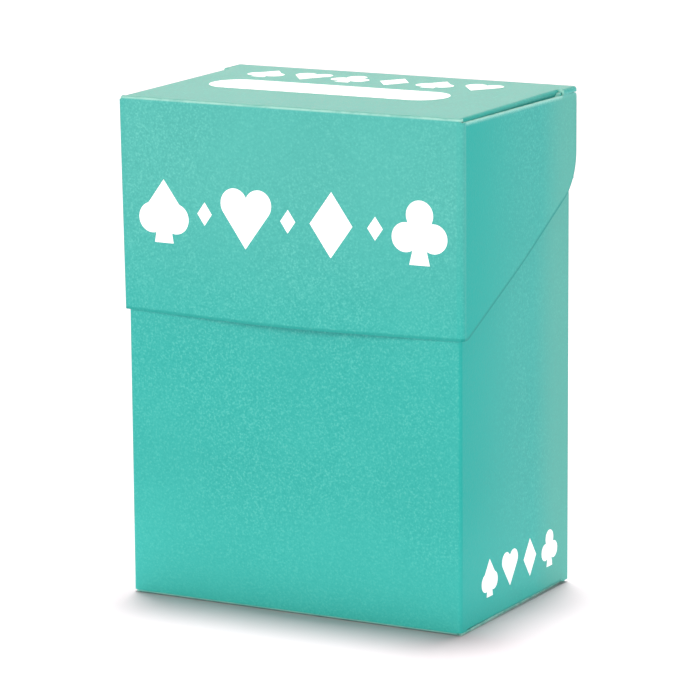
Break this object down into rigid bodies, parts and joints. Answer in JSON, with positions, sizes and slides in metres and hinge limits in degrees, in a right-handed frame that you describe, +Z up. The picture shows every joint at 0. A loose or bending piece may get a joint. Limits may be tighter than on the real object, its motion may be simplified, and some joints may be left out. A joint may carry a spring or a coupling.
{
  "type": "card deck box",
  "caption": "Flip-top deck box folded from a plastic sheet for a block of sleeved cards, with a slip-over lid on a living hinge and a loose divider.",
  "frame": {"origin": "on the floor, under the middle of the closed box", "axes": "+Z up, -Y out of the front with the bowed lid edge, +X to the right as seen from the front"},
  "size_m": [0.0756, 0.0486, 0.0986],
  "materials": {
    "turquoise_sheet": "satin",
    "white_ink": "satin"
  },
  "bodies": {
    "box_body": {"front_panel": "turquoise_sheet", "left_side_wall": "turquoise_sheet", "right_side_wall": "turquoise_sheet", "back_panel": "turquoise_sheet", "left_back_flap": "turquoise_sheet", "right_back_flap": "turquoise_sheet", "bottom_panel": "turquoise_sheet", "left_bottom_tab": "turquoise_sheet", "right_bottom_tab": "turquoise_sheet", "rear_glue_flap": "turquoise_sheet", "hinge_web": "turquoise_sheet"},
    "lid": {"lid_front": "turquoise_sheet", "left_lid_side_flap": "turquoise_sheet", "right_lid_side_flap": "turquoise_sheet", "lid_top": "turquoise_sheet", "left_top_tab": "turquoise_sheet", "right_top_tab": "turquoise_sheet", "lid_back": "turquoise_sheet", "left_lid_inner_flap": "turquoise_sheet", "right_lid_inner_flap": "turquoise_sheet"},
    "divider": {"divider": "turquoise_sheet"}
  },
  "joints": [
    {"name": "lid_hinge", "type": "hinge", "parent": "box_body", "child": "lid", "pos_m": [0, 0.0244, 0.08], "axis": [-1, 0, 0], "range_deg": [0, 170], "deforming": ["hinge_web"]},
    {"name": "divider_slide", "type": "slide", "parent": "box_body", "child": "divider", "axis": [0, -1, 0], "range_m": [0, 0.0435]}
  ]
}
